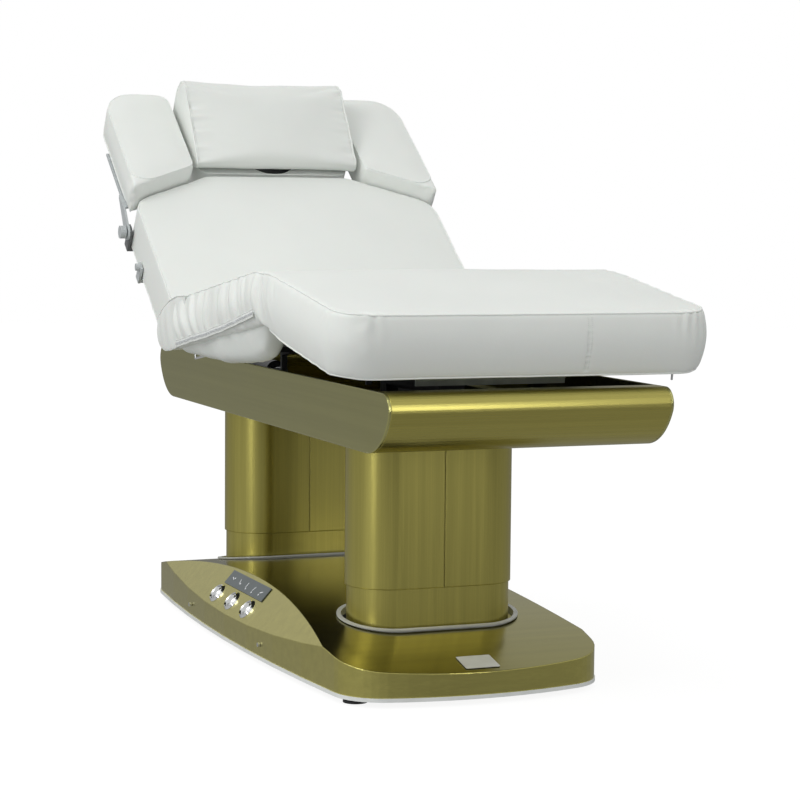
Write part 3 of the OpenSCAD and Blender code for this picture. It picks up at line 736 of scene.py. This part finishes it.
# ------------------------------------------------------------------ gathered side flaps of the thigh cover
FLAP_TOP = ((0, 1.035, 0.806), (0, 1.100, 0.802), (0, 1.160, 0.790), (0, 1.215, 0.770), (0, 1.252, 0.748),
            (0, 1.262, 0.725))
FLAP_LOW = ((0, 1.035, 0.700), (0, 1.090, 0.684), (0, 1.150, 0.672), (0, 1.205, 0.667), (0, 1.244, 0.676),
            (0, 1.258, 0.700))
for side in (-1, 1):
    upper = smooth_path([Vector(v) for v in FLAP_TOP], 0.004, 6)
    lower = smooth_path([Vector(v) for v in FLAP_LOW], 0.004, 6)
    n = 64
    up_ = [upper[int(i * (len(upper) - 1) / n)] for i in range(n + 1)]
    lo_ = [lower[int(i * (len(lower) - 1) / n)] for i in range(n + 1)]
    bm = bmesh.new()
    m = 22
    out_grid, in_grid = [], []
    for i in range(n + 1):
        ro, ri = [], []
        fade = min(1.0, i / 12) * min(1.0, (n - i) / 6)
        for j in range(m + 1):
            v = j / m
            p = up_[i] * (1 - v) + lo_[i] * v
            belly = math.sin(math.pi * v) ** 0.6 * fade
            g = noise.noise(Vector((p[1] * 27 + (0.8 - p[2]) * 9.4, 0.3 * side, p[2] * 3)))
            thick = 0.0012 + 0.0052 * belly + 0.0042 * belly * g
            ro.append(bm.verts.new((side * (WIDE + 0.0016 + thick), FOOT + p[1], p[2])))
            ri.append(bm.verts.new((side * (WIDE + 0.0008), FOOT + p[1], p[2])))
        out_grid.append(ro)
        in_grid.append(ri)
    for g in (out_grid, in_grid):
        for i in range(n):
            for j in range(m):
                bm.faces.new((g[i][j], g[i + 1][j], g[i + 1][j + 1], g[i][j + 1]))
    rim = [(i, 0) for i in range(n + 1)] + [(n, j) for j in range(1, m + 1)]
    rim += [(i, m) for i in range(n - 1, -1, -1)] + [(0, j) for j in range(m - 1, 0, -1)]
    for k in range(len(rim)):
        a, b = rim[k], rim[(k + 1) % len(rim)]
        bm.faces.new((out_grid[a[0]][a[1]], out_grid[b[0]][b[1]], in_grid[b[0]][b[1]], in_grid[a[0]][a[1]]))
    bmesh.ops.recalc_face_normals(bm, faces=bm.faces)
    tube(bm, [Vector((side * (WIDE + 0.0035), FOOT + p[1], p[2])) for p in up_], 0.0018, 8, 1)
    flap = new_object("thigh_side_flap_" + ("left" if side < 0 else "right"), bm, ["leather", "piping"])
    subdivide(flap, 1)
    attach(flap, "thigh")

# ------------------------------------------------------------------ back cushion
w = WIDE
bm = bmesh.new()


def fillet(pts, radii):
    """Rounds the corners of a closed outline."""
    out = []
    n = len(pts)
    for i, (p, r) in enumerate(zip(pts, radii)):
        p = np.array(p, float)
        if not r:
            out.append(tuple(p))
            continue
        a = np.array(pts[i - 1], float) - p
        b = np.array(pts[(i + 1) % n], float) - p
        a /= np.linalg.norm(a)
        b /= np.linalg.norm(b)
        half = math.acos(np.clip(a @ b, -1, 1)) / 2
        t = r / math.tan(half)
        c = p + (a + b) / np.linalg.norm(a + b) * r / math.sin(half)
        s, e = p + a * t - c, p + b * t - c
        for k in range(9):
            v = s * (1 - k / 8) + e * (k / 8)
            out.append(tuple(c + v / np.linalg.norm(v) * r))
    return out


outline = fillet([(-w, 0.0), (w, 0.0), (w, SHOULDER), (NECK_X, NECK), (-NECK_X, NECK), (-w, SHOULDER)],
                 [0, 0, 0.055, 0.045, 0.045, 0.055])
prism(bm, [back(x, s, -HALF) for x, s in outline], [back(x, s, HALF) for x, s in outline])
roll_ring = [(0 + HALF * math.cos(math.radians(a)), HALF * math.sin(math.radians(a))) for a in range(0, 360, 12)]
prism(bm, [back(-w, s, n) for s, n in roll_ring], [back(w, s, n) for s, n in roll_ring])
bc = new_object("back_cover", bm, ["leather"])
round_over(bc, 0.0070, 4, 0.001)
edge = outline[1:] + outline[:1]
b_top = [back(x, s, HALF) for x, s in edge]
b_low = [back(x, s, -HALF) for x, s in edge]
ends = [[back(sx * w, HALF * math.cos(math.radians(a)), HALF * math.sin(math.radians(a)))
         for a in range(90, 271, 15)] for sx in (-1, 1)]
inflate(bc, [b_top, b_low] + ends, 0.014, frames=14)
subdivide(bc, 1)
me = bc.data
co = coords_of(me)
nrm = normals_of(me)
side = np.abs(nrm[:, 0])
out = np.array([0.0014 * fbm(p, 4.0, 2.0) for p in co])
rel = co - np.array(HIP)
sb = rel[:, 1] * math.cos(B) + rel[:, 2] * math.sin(B)
for i in np.nonzero(side > 0.5)[0]:
    fade = min(1, max(0, (0.30 - sb[i]) / 0.2))
    out[i] += 0.0020 * noise.noise(Vector((sb[i] * 26, co[i, 0], co[i, 2] * 4))) * fade
for i in np.nonzero((sb < 0.16) & (side < 0.6))[0]:
    out[i] += 0.0016 * noise.noise(Vector((co[i, 0] * 5, sb[i] * 26, 1.7))) * (0.16 - max(sb[i], 0)) / 0.16
set_coords(me, co + nrm * out[:, None])
finish_cushion(bc, [(b_top, False), (b_low, False)], ["back_cushion"])
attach(bc, "back")

# ------------------------------------------------------------------ head rest with its face hole
bm = bmesh.new()
bm.from_mesh(frame["nodes"]["head_cushion"].data)
bmesh.ops.remove_doubles(bm, verts=bm.verts, dist=1e-5)
hc = new_object("head_cover", bm, ["leather"])
round_over(hc, 0.0055, 3, 0.002)
co = coords_of(hc.data)
co[:, 0] *= 1 + 0.062 * np.clip((np.abs(co[:, 0]) - 0.08) / 0.10, 0, 1)
set_coords(hc.data, co)
h0, h1 = NECK + 0.012, 0.846
hr = 0.040


def head_ring(n):
    p = []
    x = 0.207 - hr
    for cx, cy, a in ((-x, h0 + hr, 180), (x, h0 + hr, 270), (x, h1 - hr, 0), (-x, h1 - hr, 90)):
        for t in range(0, 91, 15):
            turn = math.radians(a + t)
            p.append(back(cx + hr * math.cos(turn), cy + hr * math.sin(turn), n))
    return p


hole = [back(0.068 * math.cos(t), 0.612 + 0.068 * math.sin(t), 0.055) for t in np.linspace(0, 2 * math.pi, 40)[:-1]]
inflate(hc, [looped(head_ring(0.055)), looped(head_ring(-0.020)), looped(hole)], 0.004, frames=8)
subdivide(hc, 1)
finish_cushion(hc, [(head_ring(0.055), True), (hole, True)], ["head_cushion"])
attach(hc, "head")

bm = bmesh.new()
ring = [(r, n) for r, n in ((0.0655, 0.040), (0.0655, -0.072), (0.0625, -0.072), (0.0625, 0.040))]
loops = []
for i in range(48):
    t = 2 * math.pi * i / 48
    loops.append([bm.verts.new(back(r * math.cos(t), 0.612 + r * math.sin(t), n)) for r, n in ring])
for i in range(48):
    a, b = loops[i], loops[(i + 1) % 48]
    for k in range(4):
        bm.faces.new((a[k], a[(k + 1) % 4], b[(k + 1) % 4], b[k]))
bmesh.ops.recalc_face_normals(bm, faces=bm.faces)
lining = new_object("face_hole_lining", bm, ["fabric_in"])
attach(lining, "head")

# ------------------------------------------------------------------ pillow
REST = 0.0575         # the pillow's flat underside, over the back section's mid-plane
prof = [(0.564, REST), (0.540, 0.066), (0.530, 0.092), (0.744, 0.179), (0.786, 0.173), (0.805, 0.134),
        (0.801, REST)]
pw = 0.222
bm = bmesh.new()
prism(bm, [back(-pw + 0.004, s, n) for s, n in prof], [back(pw - 0.004, s, n) for s, n in prof])
pl_ = new_object("pillow_cover", bm, ["leather"])
round_over(pl_, 0.0050, 4, 0.003)
pend = [[back(sx * (pw - 0.004), s, n) for s, n in prof + prof[:1]] for sx in (-1, 1)]
inflate(pl_, pend + [[back(-pw, 0.568, 0.058), back(pw, 0.568, 0.058)]], 0.016, frames=14)
subdivide(pl_, 1)
me = pl_.data
co = coords_of(me)
nrm = normals_of(me)
rel = co - np.array(HIP)
ps = rel[:, 1] * math.cos(B) + rel[:, 2] * math.sin(B)
pn = -rel[:, 1] * math.sin(B) + rel[:, 2] * math.cos(B)
out = np.zeros(len(co))
for i in range(len(co)):
    x = co[i, 0]
    e = (pw - abs(x)) / 0.06
    v = 0.0011 * fbm(co[i], 9.0, 5.0)
    if 0 < e < 1.5 and abs(nrm[i, 0]) < 0.7:
        v += 0.0048 * math.exp(-(e / 0.7) ** 2) * noise.noise(Vector((ps[i] * 60, pn[i] * 60, 2 * x)))
    out[i] = v
co = co + nrm * out[:, None]
rel = co - np.array(HIP)
pn = -rel[:, 1] * math.sin(B) + rel[:, 2] * math.cos(B)
nb = np.array([0, -math.sin(B), math.cos(B)])
low = np.maximum(REST - pn, 0)
co = co + low[:, None] * nb
set_coords(me, co)
finish_cushion(pl_, [(pend[0][:-1], True), (pend[1][:-1], True)], ["pillow"],
               thread=[[p + Vector((-s_ * 0.010, 0, 0)) for p in pend[i]] for i, s_ in ((0, -1), (1, 1))])
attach(pl_, "pillow_body")

# ------------------------------------------------------------------ arm pads
slope = (NECK - SHOULDER) / (WIDE - NECK_X)
pin_, pout, ptop = 0.228, 0.408, 0.830
lo_in = NECK + 0.014 - (pin_ - NECK_X) * slope
lo_out = SHOULDER + 0.014 - (pout - WIDE) * slope
r1, r2 = 0.088, 0.042


def pad_ring(side, n, k=0.0):
    p = fillet([(pin_ + k, ptop - 0.2), (pin_ + k, lo_in), (pout - k, lo_out), (pout - k, ptop - 0.2)],
               [0, 0.022, 0.04, 0])
    p += [(pout - r1 + (r1 - k) * math.cos(math.radians(t)), ptop - r1 + (r1 - k) * math.sin(math.radians(t)))
          for t in range(0, 91, 10)]
    p += [(pin_ + r2 - (r2 - k) * math.sin(math.radians(t)), ptop - r2 + (r2 - k) * math.cos(math.radians(t)))
          for t in range(0, 91, 15)]
    return [back(side * x, s, n) for x, s in p]


for side, node, body in ((-1, "arm_pad_left", "pad_left"), (1, "arm_pad_right", "pad_right")):
    bm = bmesh.new()
    bm.from_mesh(frame["nodes"][node].data)
    bmesh.ops.remove_doubles(bm, verts=bm.verts, dist=1e-5)
    ap = new_object(node + "_cover", bm, ["leather"])
    round_over(ap, 0.0055, 16, 0.002)
    inflate(ap, [looped(pad_ring(side, 0.100)), looped(pad_ring(side, 0.010))], 0.015, frames=12)
    subdivide(ap, 1)
    me = ap.data
    co = coords_of(me)
    nrm = normals_of(me)
    out = np.array([0.0012 * fbm(p, 7.0, 3.0 + side) for p in co])
    co = co + nrm * out[:, None]
    rel = co - np.array(HIP)
    s_ = rel[:, 1] * math.cos(B) + rel[:, 2] * math.sin(B)
    edge_s = lo_in - (np.abs(co[:, 0]) - pin_) * slope
    low = 0.007 * np.clip((edge_s + 0.06 - s_) / 0.06, 0, 1)
    co[:, 1] -= low * math.cos(B)
    co[:, 2] -= low * math.sin(B)
    set_coords(me, co)
    finish_cushion(ap, [(pad_ring(side, 0.098), True), (pad_ring(side, 0.013), True)], [node])
    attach(ap, body)

# ------------------------------------------------------------------ floor and light
bm = bmesh.new()
bmesh.ops.create_circle(bm, cap_ends=True, segments=96, radius=14)
floor_mat = Nodes("floor_pale")
pale = floor_mat.ramp(floor_mat.noise(floor_mat.coords(), 1.5, 3), "Fac",
                      [(0.3, (0.15, 0.15, 0.15)), (0.7, (0.17, 0.17, 0.17))])
floor_mat.join(pale, "Color", floor_mat.bsdf, "Base Color")
floor_mat.set(Roughness=0.9, Specular_IOR_Level=0.0, Emission_Color=(1, 1, 1, 1), Emission_Strength=0.90)
M["floor"] = floor_mat.mat
ground = new_object("floor", bm, ["floor"])
ground.location = (0, 0, -0.0005)
ground.visible_glossy = ground.visible_diffuse = False

world = bpy.data.worlds.new("studio")
scene.world = world
world.use_nodes = True
nt = world.node_tree
for n in list(nt.nodes):
    nt.nodes.remove(n)
out_ = nt.nodes.new("ShaderNodeOutputWorld")
mix = nt.nodes.new("ShaderNodeMixShader")
lp = nt.nodes.new("ShaderNodeLightPath")
bg_cam = nt.nodes.new("ShaderNodeBackground")
bg_env = nt.nodes.new("ShaderNodeBackground")
bg_cam.inputs["Color"].default_value = (1, 1, 1, 1)
tc = nt.nodes.new("ShaderNodeTexCoord")
sep = nt.nodes.new("ShaderNodeSeparateXYZ")
nt.links.new(tc.outputs["Generated"], sep.inputs[0])


def world_ramp(axis, stops, green=1.0):
    """Grey levels over one axis of the direction, from -1 to 1."""
    span = nt.nodes.new("ShaderNodeMapRange")
    span.inputs["From Min"].default_value = -1
    nt.links.new(sep.outputs[axis], span.inputs["Value"])
    ramp = nt.nodes.new("ShaderNodeValToRGB")
    nt.links.new(span.outputs["Result"], ramp.inputs["Fac"])
    el = ramp.color_ramp.elements
    while len(el) < len(stops):
        el.new(0.5)
    for e, (p, v) in zip(el, stops):
        e.position = p
        e.color = (v, v * green, v, 1)
    return ramp


rampz = world_ramp("Z", [(0.0, 0.44), (0.40, 0.36), (0.475, 0.27), (0.53, 0.34), (0.60, 0.62), (0.74, 0.90),
                         (1.0, 0.98)], 1.005)
rampx = world_ramp("X", [(0.0, 1.25), (0.35, 0.95), (0.6, 0.7), (1.0, 0.85)])
mul = nt.nodes.new("ShaderNodeMixRGB")
mul.blend_type = "MULTIPLY"
mul.inputs["Fac"].default_value = 1
nt.links.new(rampz.outputs["Color"], mul.inputs[1])
nt.links.new(rampx.outputs["Color"], mul.inputs[2])
nt.links.new(mul.outputs["Color"], bg_env.inputs["Color"])
nt.links.new(lp.outputs["Is Camera Ray"], mix.inputs["Fac"])
nt.links.new(bg_env.outputs[0], mix.inputs[1])
nt.links.new(bg_cam.outputs[0], mix.inputs[2])
nt.links.new(mix.outputs[0], out_.inputs["Surface"])


def area(name, at, to, size, power, size_y=None):
    d = bpy.data.lights.new(name, "AREA")
    d.energy = power
    d.size = size
    if size_y:
        d.shape = "RECTANGLE"
        d.size_y = size_y
    o = bpy.data.objects.new(name, d)
    scene.collection.objects.link(o)
    o.location = at
    o.rotation_euler = (Vector(to) - Vector(at)).to_track_quat("-Z", "Y").to_euler()
    return o


area("key", (-3.0, -0.6, 3.4), (0, 0, 0.7), 1.8, 36)
area("strip_front", (1.3, -4.6, 1.6), (0, -0.5, 0.5), 0.5, 16, 2.2)
area("strip_left", (-4.0, -2.6, 1.0), (0, -0.4, 0.5), 0.5, 14, 1.8)

scene.view_settings.view_transform = "Standard"
scene.view_settings.look = "None"
scene.view_settings.exposure = 0.0
